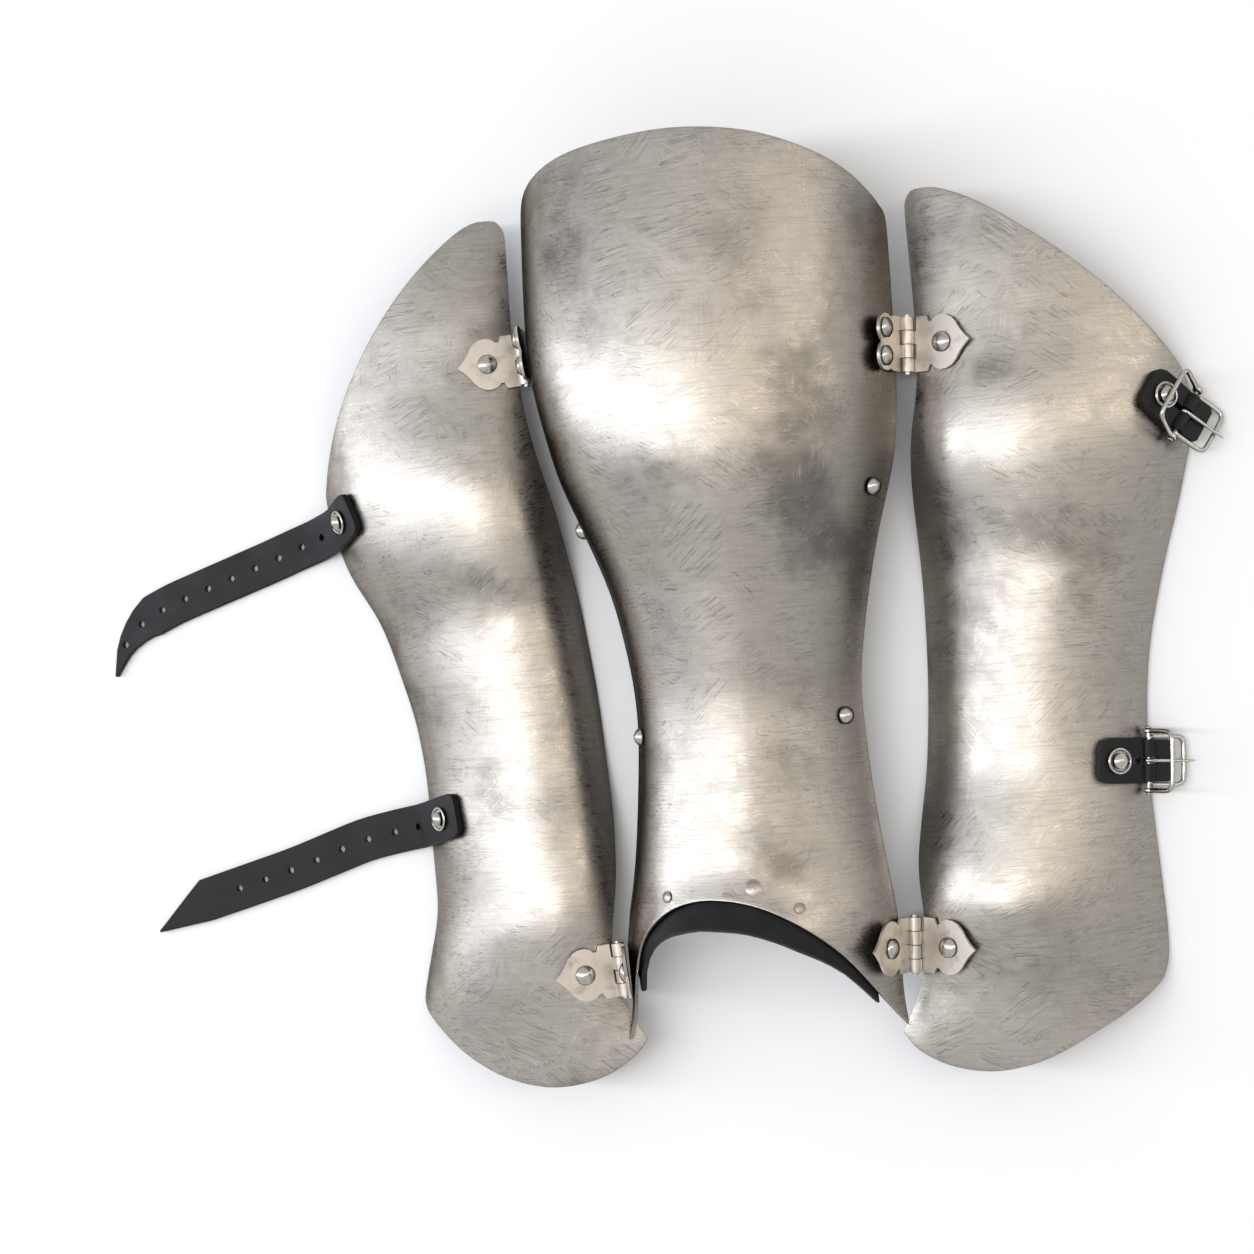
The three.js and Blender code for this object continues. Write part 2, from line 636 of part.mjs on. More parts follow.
// ---------------------------------------------------------------- straps

// A strap's route: its inner stretch lies on the wing, `distance` in from the wing's outer edge,
// and the points `beyond` it, [x, y, height of its underside], take it down over the edge and
// along the floor. Its end is cut to a point, `tip` long, that leans towards its lower edge.
const STRAPS = [
  {
    name: "knee_strap",
    onWing: [[26, 199.5], [19, 197.2], [12, 194.8], [6.5, 193]],
    beyond: [
      [-183, 191.2, 3.4], [-189.5, 189.3, 1.1], [-198, 187, 0.2], [-211, 183, 0], [-225, 179, 0],
      [-246, 173, 0], [-264, 167.5, 0], [-277, 161.5, 0], [-287, 152, 0], [-293.5, 139, 0],
    ],
    rivetAt: 11,
    holes: { first: 28, spacing: 12.3, count: 10 },
    tip: 34,
    lean: 0.1,
  },
  {
    name: "ankle_strap",
    onWing: [[27, 66.3], [20, 65.2], [13, 64], [6.5, 62.7]],
    beyond: [
      [-149.8, 61.6, 3.4], [-156.3, 60.7, 1.1], [-165, 59.4, 0.2], [-178, 57, 0], [-190, 53.5, 0],
      [-211, 47, 0], [-240, 39.5, 0], [-264, 33.5, 0], [-283, 28.5, 0],
    ],
    rivetAt: 11,
    holes: { first: 29, spacing: 13.2, count: 8 },
    tip: 26,
    lean: 0.7,
  },
];

const CORNER_RADIUS = 4;
const STRAP_EDGE_BEVEL = 0.5;

function strapRoute({ onWing, beyond }) {
  const lift = GAP + STRAP_THICKNESS / 2;
  const normals = [];
  const points = onWing.map(([distance, y], i) => {
    const u = 1 - strapSurface.shareAt(distance, y);
    const rise = lift + (i === onWing.length - 1 ? STRAP_RISE_AT_EDGE : STRAP_RISE);
    const normal = strapSurface.normalAt(u, y);
    normals.push(normal);
    return strapSurface.pointAt(u, y).addScaledVector(normal, rise);
  });
  beyond.forEach(([x, y, height]) => {
    points.push(new THREE.Vector3(x, y, height + STRAP_THICKNESS / 2));
    normals.push(new THREE.Vector3(0, 0, 1));
  });
  return { curve: new THREE.CatmullRomCurve3(points, false, "centripetal"), normals };
}

function strapHalfWidth(distance, length, tip) {
  if (distance < CORNER_RADIUS) {
    const rest = CORNER_RADIUS - distance;
    return STRAP_WIDTH / 2 - CORNER_RADIUS + Math.sqrt(CORNER_RADIUS ** 2 - rest ** 2);
  }
  const left = Math.min((length - distance) / tip, 1);
  return THREE.MathUtils.lerp(STRAP_TIP_HALF_WIDTH, STRAP_WIDTH / 2, left);
}

// A flat band's section, chamfered at its four long edges.
function bandRing(point, across, up, halfWidth, halfThickness) {
  const bevel = Math.min(STRAP_EDGE_BEVEL, halfWidth / 2);
  const corners = [
    [halfWidth, -halfThickness + bevel], [halfWidth, halfThickness - bevel],
    [halfWidth - bevel, halfThickness], [-halfWidth + bevel, halfThickness],
    [-halfWidth, halfThickness - bevel], [-halfWidth, -halfThickness + bevel],
    [-halfWidth + bevel, -halfThickness], [halfWidth - bevel, -halfThickness],
  ];
  return corners.map(([a, b]) => point.clone().addScaledVector(across, a).addScaledVector(up, b));
}

// A band lies flat on the wing where it starts, and flat on the floor where it ends.
function bandFrame({ curve, normals }, share) {
  const point = curve.getPointAt(share);
  const tangent = curve.getTangentAt(share);
  const position = curve.getUtoTmapping(share) * (normals.length - 1);
  const before = Math.min(Math.floor(position), normals.length - 2);
  const up = normals[before].clone().lerp(normals[before + 1], position - before);
  up.addScaledVector(tangent, -up.dot(tangent)).normalize();
  const across = new THREE.Vector3().crossVectors(up, tangent);
  return { point, tangent, across, up };
}

function strapGeometry(strap) {
  const route = strapRoute(strap);
  const length = route.curve.getLength();
  const distances = [0, 0.5, 1.6, CORNER_RADIUS];
  for (let d = 8; d < length - strap.tip; d += 5) {
    distances.push(d);
  }
  for (let i = 0; i <= 6; i += 1) {
    distances.push(length - strap.tip * (1 - i / 6));
  }
  const rings = distances.map((distance) => {
    const { point, across, up } = bandFrame(route, distance / length);
    const halfWidth = strapHalfWidth(distance, length, strap.tip);
    if (length - distance < strap.tip) {
      point.addScaledVector(across, strap.lean * (STRAP_WIDTH / 2 - halfWidth));
    }
    return bandRing(point, across, up, halfWidth, STRAP_THICKNESS / 2);
  });
  let solid = toSolid(loftRings(rings));
  const { first, spacing, count } = strap.holes;
  for (let i = 0; i < count; i += 1) {
    const { point, up } = bandFrame(route, (first + spacing * i) / length);
    const hole = new THREE.CylinderGeometry(STRAP_HOLE_RADIUS, STRAP_HOLE_RADIUS, HOLE_CUT, 8);
    const turn = new THREE.Quaternion().setFromUnitVectors(new THREE.Vector3(0, 1, 0), up);
    hole.applyQuaternion(turn).translate(point.x, point.y, point.z);
    solid = solid.subtract(toSolid(hole));
  }
  return toGeometry(solid);
}

// A washer with a low dome on it, seated on a leather band.
function addWasherAndRivet(name, matrix) {
  const washer = new THREE.CylinderGeometry(WASHER_RADIUS, WASHER_RADIUS, WASHER_THICKNESS, 20);
  washer.rotateX(Math.PI / 2).translate(0, 0, WASHER_THICKNESS / 2 + GAP);
  placePiece(`${name}_washer`, washer, brightSteel, matrix);
  const dome = domeGeometry(WASHER_RIVET_RADIUS, 2).translate(0, 0, WASHER_THICKNESS + 2 * GAP);
  placePiece(`${name}_rivet`, dome, brightSteel, matrix);
}

STRAPS.forEach((strap) => {
  addPiece(strap.name, strapGeometry(strap), leather);
  const route = strapRoute(strap);
  const { point, tangent, across, up } = bandFrame(route, strap.rivetAt / route.curve.getLength());
  const seat = point.addScaledVector(up, STRAP_THICKNESS / 2);
  addWasherAndRivet(strap.name, frameMatrix(seat, tangent, across, up));
});

// ---------------------------------------------------------------- buckles on their leather tabs

const TAB_WIDTH = 18;
const TAB_THICKNESS = 3.6;
const TAB_END = 0.5;
const TAB_END_RISE = 1.2;
const EYE_RADIUS = BUCKLE_WIRE_RADIUS + GAP + 1.6;
const EYE_WIDTH = 16.6;
const EYE_LIFT = EYE_RADIUS + GAP + 0.4;
const FOLD_REACH = 9.3;
const FOLD_CORNER = 1.5;
const FOLD_TOP = 0.75;
const FOLD_THICKNESS = 2;
const TONGUE_WIRE_RADIUS = 0.7;
const TONGUE_LOOP_RADIUS = BUCKLE_WIRE_RADIUS + GAP + TONGUE_WIRE_RADIUS;
const TONGUE_SLOT_WIDTH = 2 * (TONGUE_WIRE_RADIUS + 2 * GAP);
const TONGUE_SLOT_REACH = TONGUE_LOOP_RADIUS + TONGUE_WIRE_RADIUS + 2 * GAP;
const TONGUE_SLOT_LENGTH = 10.5;
const TONGUE_OVERHANG = 2.6;
const FRAME_REACH = BUCKLE_LENGTH - 2 * BUCKLE_WIRE_RADIUS;
const FRAME_HALF = BUCKLE_WIDTH / 2 - BUCKLE_WIRE_RADIUS;
const FRAME_CORNER = 2;
const FRAME_FAR_CORNER = 3;
const LOOP_HALF = FRAME_HALF + 2 * BUCKLE_WIRE_RADIUS + GAP;
const LOOP_CORNER = 3.6;
const LOOP_EYE_WIDTH = 1.6;
const LOOP_EYE_RADIUS = 2;
const STUB_RADIUS = 0.75;
const STUB_HEAD_RADIUS = 1.2;

// The eye that holds the buckle's bar sits `distance` in from the wing's outer edge at `y`, and
// the tab runs inward from it, turned by `angle` degrees towards the knee. The buckle's outer loop
// is `raised` by some degrees above its frame.
const TABS = [
  { name: "knee_buckle", distance: 8, y: 200.5, angle: 38, length: 19.5, rivetAt: 11.7, raised: 142 },
  { name: "ankle_buckle", distance: 3.5, y: 67, angle: 5, length: 22, rivetAt: 14.5, raised: 69 },
];

function tabFrame(tab, along, across, lift) {
  const turn = radians(tab.angle);
  const distance = tab.distance + along * Math.cos(turn) - across * Math.sin(turn);
  const y = tab.y + along * Math.sin(turn) + across * Math.cos(turn);
  const u = 1 - buckleSurface.shareAt(distance, y);
  const normal = buckleSurface.normalAt(u, y);
  return { point: buckleSurface.pointAt(u, y).addScaledVector(normal, lift), normal };
}

// The bar's own frame: X leaves the tab, Y runs along the bar, Z stands off the wing.
function barFrame(tab) {
  const { point, normal } = tabFrame(tab, 0, 0, EYE_LIFT);
  const inward = tabFrame(tab, 1, 0, EYE_LIFT).point.sub(point);
  inward.addScaledVector(normal, -inward.dot(normal)).normalize();
  const outward = inward.negate();
  const bar = new THREE.Vector3().crossVectors(normal, outward);
  return { origin: point, outward, bar, normal };
}

// The leather's fold reaches past the bar inside the buckle's frame, in the frame's own plane.
function foldGeometry() {
  const half = EYE_WIDTH / 2;
  const outline = new THREE.Shape();
  outline.moveTo(1, -half);
  outline.lineTo(FOLD_REACH - FOLD_CORNER, -half);
  outline.lineTo(FOLD_REACH, FOLD_CORNER - half);
  outline.lineTo(FOLD_REACH, half - FOLD_CORNER);
  outline.lineTo(FOLD_REACH - FOLD_CORNER, half);
  outline.lineTo(1, half);
  const fold = new THREE.ExtrudeGeometry(outline, { depth: FOLD_THICKNESS, bevelEnabled: false });
  return fold.translate(0, 0, FOLD_TOP - FOLD_THICKNESS);
}

function tongueSlot() {
  const slot = new THREE.BoxGeometry(TONGUE_SLOT_LENGTH, TONGUE_SLOT_WIDTH, 4 * EYE_RADIUS);
  return slot.translate(TONGUE_SLOT_REACH - TONGUE_SLOT_LENGTH / 2, 0, 0);
}

function tabGeometry(tab) {
  const acrossSteps = 5;
  const rings = [];
  const shares = [0, 0.06, 0.19, 0.31, 0.47, 0.63, 0.81, 1];
  const stations = shares.map((share) => THREE.MathUtils.lerp(tab.length, TAB_END, share));
  stations.forEach((along, i) => {
    const fromEnd = tab.length - along;
    const rest = Math.max(CORNER_RADIUS - fromEnd, 0);
    const halfWidth = TAB_WIDTH / 2 - CORNER_RADIUS + Math.sqrt(CORNER_RADIUS ** 2 - rest ** 2);
    const top = [];
    const bottom = [];
    const lowest = i === stations.length - 1 ? TAB_END_RISE : GAP;
    for (let j = 0; j <= acrossSteps; j += 1) {
      const across = halfWidth * ((2 * j) / acrossSteps - 1);
      bottom.push(tabFrame(tab, along, across, lowest).point);
      top.push(tabFrame(tab, along, across, GAP + TAB_THICKNESS).point);
    }
    rings.push([...bottom, ...top.reverse()]);
  });
  const { origin, outward, bar, normal } = barFrame(tab);
  const toBar = frameMatrix(origin, outward, bar, normal);
  const toFrame = restingFrame(tab);
  const eye = new THREE.CylinderGeometry(EYE_RADIUS, EYE_RADIUS, EYE_WIDTH, 16).applyMatrix4(toBar);
  const boreRadius = BUCKLE_WIRE_RADIUS + GAP;
  const bore = new THREE.CylinderGeometry(boreRadius, boreRadius, 2 * TAB_WIDTH, 12).applyMatrix4(toBar);
  const fold = toSolid(foldGeometry().applyMatrix4(toFrame));
  const slab = toSolid(loftPlate(rings, acrossSteps + 1)).add(toSolid(eye)).add(fold);
  const slots = [toBar, toFrame].map((place) => toSolid(tongueSlot().applyMatrix4(place)));
  return toGeometry(slab.subtract(toSolid(bore)).subtract(slots[0]).subtract(slots[1]));
}

function wireRing(centre, outward, normal, radius, sides) {
  return Array.from({ length: sides }, (_, j) => {
    const angle = (2 * Math.PI * j) / sides;
    const point = centre.clone().addScaledVector(outward, radius * Math.cos(angle));
    return point.addScaledVector(normal, radius * Math.sin(angle));
  });
}

// A ring of wire from a closed row of centre points, all in one plane with the given normal.
function wireLoop(centres, normal, radius, sides = 8) {
  const rings = centres.map((centre, i) => {
    const next = centres[(i + 1) % centres.length];
    const last = centres[(i + centres.length - 1) % centres.length];
    const outward = new THREE.Vector3().crossVectors(next.clone().sub(last), normal).normalize();
    return wireRing(centre, outward, normal, radius, sides);
  });
  const ringCount = rings.length;
  const indices = [];
  for (let i = 0; i < ringCount; i += 1) {
    for (let j = 0; j < sides; j += 1) {
      const a = i * sides + j;
      const b = i * sides + ((j + 1) % sides);
      const c = ((i + 1) % ringCount) * sides + ((j + 1) % sides);
      const d = ((i + 1) % ringCount) * sides + j;
      indices.push(a, b, c, a, c, d);
    }
  }
  const geometry = new THREE.BufferGeometry();
  const positions = rings.flat().flatMap((point) => [point.x, point.y, point.z]);
  geometry.setAttribute("position", new THREE.Float32BufferAttribute(positions, 3));
  geometry.setIndex(indices);
  return facingOut(geometry);
}

// A rectangle of wire with rounded corners. Its inner bar lies on the Y axis, and a headed stub
// runs on from each end of that bar to carry the outer loop.
function buckleFrameGeometry() {
  const centres = [];
  const corners = [
    [1, 1, 0, FRAME_FAR_CORNER],
    [0, 1, 90, FRAME_CORNER],
    [0, -1, 180, FRAME_CORNER],
    [1, -1, 270, FRAME_FAR_CORNER],
  ];
  corners.forEach(([far, end, from, radius]) => {
    const x = far ? FRAME_REACH - radius : radius;
    const y = end * (FRAME_HALF - radius);
    for (let i = 0; i <= 3; i += 1) {
      const angle = radians(from + 30 * i);
      centres.push(new THREE.Vector3(x + radius * Math.cos(angle), y + radius * Math.sin(angle), 0));
    }
  });
  let solid = toSolid(wireLoop(centres, new THREE.Vector3(0, 0, 1), BUCKLE_WIRE_RADIUS));
  const neck = FRAME_HALF - FRAME_CORNER - 0.2;
  const head = LOOP_HALF + LOOP_EYE_WIDTH / 2 + GAP;
  [-1, 1].forEach((end) => {
    const stub = new THREE.CylinderGeometry(STUB_RADIUS, STUB_RADIUS, head + 0.2 - neck, 10);
    const cap = new THREE.CylinderGeometry(STUB_HEAD_RADIUS, STUB_HEAD_RADIUS, 0.6, 10);
    solid = solid.add(toSolid(stub.translate(0, (end * (head + 0.2 + neck)) / 2, 0)));
    solid = solid.add(toSolid(cap.translate(0, end * (head + 0.3), 0)));
  });
  return toGeometry(solid);
}

// A bow of wire that swings on the frame's two stubs, by an eye at each end.
function buckleLoopGeometry() {
  const arm = FRAME_REACH - LOOP_CORNER;
  const centres = [new THREE.Vector3(1.6, -LOOP_HALF, 0)];
  [-1, 1].forEach((end) => {
    for (let i = 0; i <= 4; i += 1) {
      const angle = radians(end < 0 ? -90 + 22.5 * i : 22.5 * i);
      const x = arm + LOOP_CORNER * Math.cos(angle);
      const y = end * (LOOP_HALF - LOOP_CORNER) + LOOP_CORNER * Math.sin(angle);
      centres.push(new THREE.Vector3(x, y, 0));
    }
  });
  centres.push(new THREE.Vector3(1.6, LOOP_HALF, 0));
  const normal = new THREE.Vector3(0, 0, 1);
  const rings = centres.map((centre, i) => {
    const next = centres[Math.min(i + 1, centres.length - 1)];
    const last = centres[Math.max(i - 1, 0)];
    const outward = new THREE.Vector3().crossVectors(next.clone().sub(last), normal).normalize();
    return wireRing(centre, outward, normal, BUCKLE_WIRE_RADIUS, 8);
  });
  let solid = toSolid(loftRings(rings));
  const boreRadius = STUB_RADIUS + GAP;
  [-LOOP_HALF, LOOP_HALF].forEach((y) => {
    const eye = new THREE.CylinderGeometry(LOOP_EYE_RADIUS, LOOP_EYE_RADIUS, LOOP_EYE_WIDTH, 16);
    const bore = new THREE.CylinderGeometry(boreRadius, boreRadius, 2 * LOOP_EYE_WIDTH, 10);
    solid = solid.add(toSolid(eye.translate(0, y, 0))).subtract(toSolid(bore.translate(0, y, 0)));
  });
  return toGeometry(solid);
}

// A wire looped round the inner bar, whose straight prong rests on the outer bar.
function tongueGeometry() {
  const centres = Array.from({ length: 14 }, (_, i) => {
    const angle = (2 * Math.PI * i) / 14;
    return new THREE.Vector3(Math.cos(angle), 0, Math.sin(angle)).multiplyScalar(TONGUE_LOOP_RADIUS);
  });
  const loop = wireLoop(centres, new THREE.Vector3(0, 1, 0), TONGUE_WIRE_RADIUS);
  const length = FRAME_REACH + BUCKLE_WIRE_RADIUS + TONGUE_OVERHANG;
  const tip = 0.6 * TONGUE_WIRE_RADIUS;
  const prong = new THREE.CylinderGeometry(TONGUE_WIRE_RADIUS, tip, length, 8, 1);
  prong.rotateZ(Math.PI / 2).translate(length / 2, 0, TONGUE_LOOP_RADIUS + 0.05);
  return toGeometry(toSolid(loop).add(toSolid(prong)));
}

// Lets the frame down about its bar until its lowest corner is just above the floor.
function restingFrame(tab) {
  const { origin, outward, bar, normal } = barFrame(tab);
  const lowEnd = bar.clone().multiplyScalar(-Math.sign(bar.z) * (FRAME_HALF - FRAME_CORNER * 0.3));
  const floor = BUCKLE_WIRE_RADIUS + 0.1;
  let least = radians(-60);
  let most = radians(60);
  let x = outward;
  for (let i = 0; i < 40; i += 1) {
    const angle = (least + most) / 2;
    x = outward.clone().multiplyScalar(Math.cos(angle)).addScaledVector(normal, Math.sin(angle));
    const lowest = origin.clone().add(lowEnd).addScaledVector(x, FRAME_REACH).z;
    if (lowest > floor) {
      most = angle;
    } else {
      least = angle;
    }
  }
  return frameMatrix(origin, x, bar, new THREE.Vector3().crossVectors(x, bar));
}

TABS.forEach((tab) => {
  addPiece(`${tab.name}_tab`, tabGeometry(tab), leather);
  const { point, normal } = tabFrame(tab, tab.rivetAt, 0, 2 * GAP + TAB_THICKNESS);
  const { outward } = barFrame(tab);
  const x = outward.addScaledVector(normal, -outward.dot(normal)).normalize();
  const y = new THREE.Vector3().crossVectors(normal, x);
  addWasherAndRivet(`${tab.name}_tab`, frameMatrix(point, x, y, normal));
  const rest = restingFrame(tab);
  placePiece(`${tab.name}_frame`, buckleFrameGeometry(), nickel, rest);
  placePiece(`${tab.name}_tongue`, tongueGeometry(), nickel, rest);
  const raise = new THREE.Matrix4().makeRotationY(-radians(tab.raised));
  placePiece(`${tab.name}_loop`, buckleLoopGeometry(), nickel, rest.clone().multiply(raise));
});

// The origin is the middle of the greave's footprint on the floor.
const footprint = new THREE.Box3().setFromObject(greave, true);
const centre = footprint.getCenter(new THREE.Vector3());
greave.position.set(-centre.x, -centre.y, -footprint.min.z);

export default greave;
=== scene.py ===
"""Steel greave, lying open: plates, hinges, rivets, straps, buckles and lining, in a plain studio.

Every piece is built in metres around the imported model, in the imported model's own frame.
"""

import json
import math

import bmesh
import bpy
from mathutils import Matrix, Vector
from mathutils.bvhtree import BVHTree


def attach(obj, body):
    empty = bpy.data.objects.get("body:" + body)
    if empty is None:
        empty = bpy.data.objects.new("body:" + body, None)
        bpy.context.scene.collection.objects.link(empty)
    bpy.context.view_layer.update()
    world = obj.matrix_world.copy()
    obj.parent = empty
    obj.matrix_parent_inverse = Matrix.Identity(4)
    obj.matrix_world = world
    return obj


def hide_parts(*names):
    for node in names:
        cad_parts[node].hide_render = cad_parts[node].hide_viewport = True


bl_info = {
    "name": "Steel Greave",
    "version": (1, 0, 0),
    "blender": (4, 5, 0),
    "location": "3D View > Sidebar > Greave",
    "description": "Builds the visible pieces of a hinged steel greave and a studio around it",
    "category": "Object",
}

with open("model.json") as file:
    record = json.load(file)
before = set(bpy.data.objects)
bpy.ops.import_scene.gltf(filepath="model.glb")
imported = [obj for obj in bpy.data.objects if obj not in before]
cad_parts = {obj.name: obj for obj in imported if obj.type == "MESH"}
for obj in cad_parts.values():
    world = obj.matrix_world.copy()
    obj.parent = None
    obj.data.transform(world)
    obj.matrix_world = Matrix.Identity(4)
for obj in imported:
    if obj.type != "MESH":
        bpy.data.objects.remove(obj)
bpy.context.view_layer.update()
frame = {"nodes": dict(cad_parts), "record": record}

MM = 0.001

PLATES = ("front_plate", "strap_wing", "buckle_wing")
HINGES = ("strap_knee_hinge", "strap_ankle_hinge", "buckle_knee_hinge", "buckle_ankle_hinge")
BANDS = ("knee_strap", "ankle_strap")
TABS = ("knee_buckle_tab", "ankle_buckle_tab")
BUCKLES = ("knee_buckle", "ankle_buckle")
BUCKLE_WIRES = ("frame", "tongue", "loop")
ARCH_RIVETS = ("arch_rivet_1", "arch_rivet_2", "arch_rivet_3")

# Darker patches of the plates, at listed places, in millimetres: middle and radius.
DARK_PATCHES = (
    ((81, 68, 62), 44), ((89, 34, 58), 34), ((56, -98, 58), 30),
    ((-50, 14, 32), 36), ((186, 14, 32), 40), ((-66, -60, 30), 24),
)

# The straight foot under each kind of domed head: filed flush, on the hinges, on the washers.
FILED_FOOT = 0.1 * MM
HINGE_FOOT = 0.5 * MM
WASHER_FOOT = 0.4 * MM
DOME_STEPS = 8
HEAD_SEGMENTS = 32

TAIL_HEIGHT = 1.3 * MM
TAIL_FOOT = 0.3 * MM
TAIL_SUNK = 0.2 * MM
TAIL_SEGMENTS = 20
# How far behind a head the search for the plate's hollow face starts, and how far it runs.
SEARCH_START = 12 * MM
SEARCH_REACH = 14 * MM

# A dished washer's outline, in shares of its radius and thickness: along its underside, over its
# rolled rim, and down into the sunk ring that the head stands in.
WASHER_OUTLINE = (
    (0, 0), (0.94, 0), (1, 0.3), (1, 0.7), (0.96, 1.0),
    (0.9, 1.15), (0.83, 1.0), (0.79, 0.6), (0.74, 0.2), (0, 0.15),
)
WASHER_SEGMENTS = 40

# Smoothing thins a wire, so its surface is first moved out by this much.
WIRE_SWELL = 0.12 * MM

# Triangles are joined across edges that bend less than the first angle, into four-sided faces
# whose corners are within the second angle of square.
JOIN_BEND_DEGREES = 40
JOIN_SKEW_DEGREES = 70
SUBDIVISIONS = 2

# A Mix node's colour sockets share their names with its other sockets, so they go by number.
FIRST_COLOUR, SECOND_COLOUR, MIXED_COLOUR = 6, 7, 2

FLOOR_HALF_WIDTH = 6.0
FLOOR_DROP = 0.0002
AIR_COLOUR = "#e2e3e6"
AIR_STRENGTH = 0.86
# Soft boxes: name, place, width and length, watts and colour.
SOFT_BOXES = (
    ("key_box", (-1.2, 0.1, 1.1), (0.17, 5.0), 30, "#eef4ff"),
    ("warm_box", (0.7, 0.1, 1.45), (0.14, 4.0), 9, "#fff0dc"),
)
SENSOR_WIDTH_MM = 36.0
CAMERA_AT = Vector((0.2374, -0.0191, 0.850))
CAMERA_AIM = Vector((-0.0005, 0.0, 0.012))
CAMERA_UP = Vector((0.0936, 0.9956, 0.0))


def linear(hex_colour):
    """An sRGB hex colour as linear red, green, blue and alpha."""
    values = [int(hex_colour[i : i + 2], 16) / 255 for i in (1, 3, 5)]
    lit = [v / 12.92 if v <= 0.04045 else ((v + 0.055) / 1.055) ** 2.4 for v in values]
    return (*lit, 1.0)


def colour_setting(name, description, hex_colour):
    """A colour that the user can change, with its default from a hex value."""
    return bpy.props.FloatVectorProperty(
        name=name, description=description, default=linear(hex_colour), size=4,
        min=0, max=1, subtype="COLOR",
    )


def length_setting(name, description, millimetres):
    """A length that the user can change, with its default in millimetres."""
    return bpy.props.FloatProperty(
        name=name, description=description, default=millimetres * MM, min=0,
        subtype="DISTANCE", unit="LENGTH", precision=5,
    )


class GreaveSettings(bpy.types.PropertyGroup):
    """Sizes and colours of the greave's pieces."""

    steel: colour_setting("Steel", "Hand-brushed mild steel of the plates", "#b0aaa1")
    steel_cloud: colour_setting("Steel clouding", "Darker cloudy areas of the plates", "#77726b")
    nickel: colour_setting("Hinge nickel", "Satin nickel plating of the hinges", "#d2cabf")
    polished: colour_setting("Polished nickel", "Buckles, rivets and washers", "#c9c5be")
    hide: colour_setting("Leather", "Dyed and waxed face of the leather", "#0e0e0f")
    # The edge colour also stands for painted shade on every leather surface turned from up.
    hide_edge_and_shade: colour_setting("Leather edge", "Burnished cut edge of the leather", "#060606")
    sheet_edge: length_setting("Sheet edge", "Rounding of the plates' filed edges", 0.3)
    leaf_edge: length_setting("Leaf edge", "Rounding of the hinge leaves' edges", 0.15)
    band_edge: length_setting("Band edge", "Rounding of the straps' and tabs' edges", 0.55)
    tail_radius: length_setting("Rivet tail", "Radius of the peened tails inside the plates", 3.0)


class StudioSettings(bpy.types.PropertyGroup):
    """The studio's floor, light and camera."""

    floor: colour_setting("Floor", "Pale paper floor", "#f4f4f3")
    lens: bpy.props.FloatProperty(
        name="Lens", description="Focal length on a 36 mm sensor", default=60.0, min=10,
        unit="CAMERA",
    )


# ---------------------------------------------------------------- materials


def add(tree, kind, inputs=None, links=None, **settings):
    """Adds a node with its settings, its inputs' values and the sockets that feed it."""
    node = tree.nodes.new(kind)
    for name, value in settings.items():
        setattr(node, name, value)
    for name, value in (inputs or {}).items():
        node.inputs[name].default_value = value
    for name, socket in (links or {}).items():
        tree.links.new(socket, node.inputs[name])
    return node


def new_material(name, constants):
    """A named material with its shader, and the Object coordinates that its patterns read."""
    material = bpy.data.materials.new(name)
    material.use_nodes = True
    tree = material.node_tree
    tree.nodes.clear()
    shader = add(tree, "ShaderNodeBsdfPrincipled", constants)
    add(tree, "ShaderNodeOutputMaterial", links={"Surface": shader.outputs["BSDF"]})
    place = add(tree, "ShaderNodeTexCoord").outputs["Object"]
    return material, tree, shader, place


def fade(tree, value, to, over=(0.0, 1.0)):
    """Carries a value smoothly to one range over another, and holds it past both ends."""
    node = add(
        tree, "ShaderNodeMapRange",
        {"From Min": over[0], "From Max": over[1], "To Min": to[0], "To Max": to[1]},
        {"Value": value}, interpolation_type="SMOOTHSTEP",
    )
    return node.outputs["Result"]


def noise(tree, place, size_mm, detail, **inputs):
    """Cloudy noise, with its largest features about a given size."""
    node = add(
        tree, "ShaderNodeTexNoise", {"Scale": 1 / (size_mm * MM), "Detail": detail, **inputs},
        {"Vector": place},
    )
    return node.outputs["Fac"]


def scaled(tree, place, scale):
    """Coordinates scaled along each axis: a pattern read from them is drawn out along the least."""
    return add(tree, "ShaderNodeMapping", {"Scale": scale}, {"Vector": place}).outputs["Vector"]


def bump(tree, strength, height_mm, pattern, over=None):
    """A surface raised by a pattern, over another bump if there is one."""
    links = {"Height": pattern}
    if over:
        links["Normal"] = over
    node = add(tree, "ShaderNodeBump", {"Strength": strength, "Distance": height_mm * MM}, links)
    return node.outputs["Normal"]


def mix_colours(tree, share, first, second):
    """One colour fading into another."""
    node = add(tree, "ShaderNodeMix", links={"Factor": share}, data_type="RGBA")
    for index, colour in ((FIRST_COLOUR, first), (SECOND_COLOUR, second)):
        if isinstance(colour, bpy.types.NodeSocket):
            tree.links.new(colour, node.inputs[index])
        else:
            node.inputs[index].default_value = colour
    return node.outputs[MIXED_COLOUR]


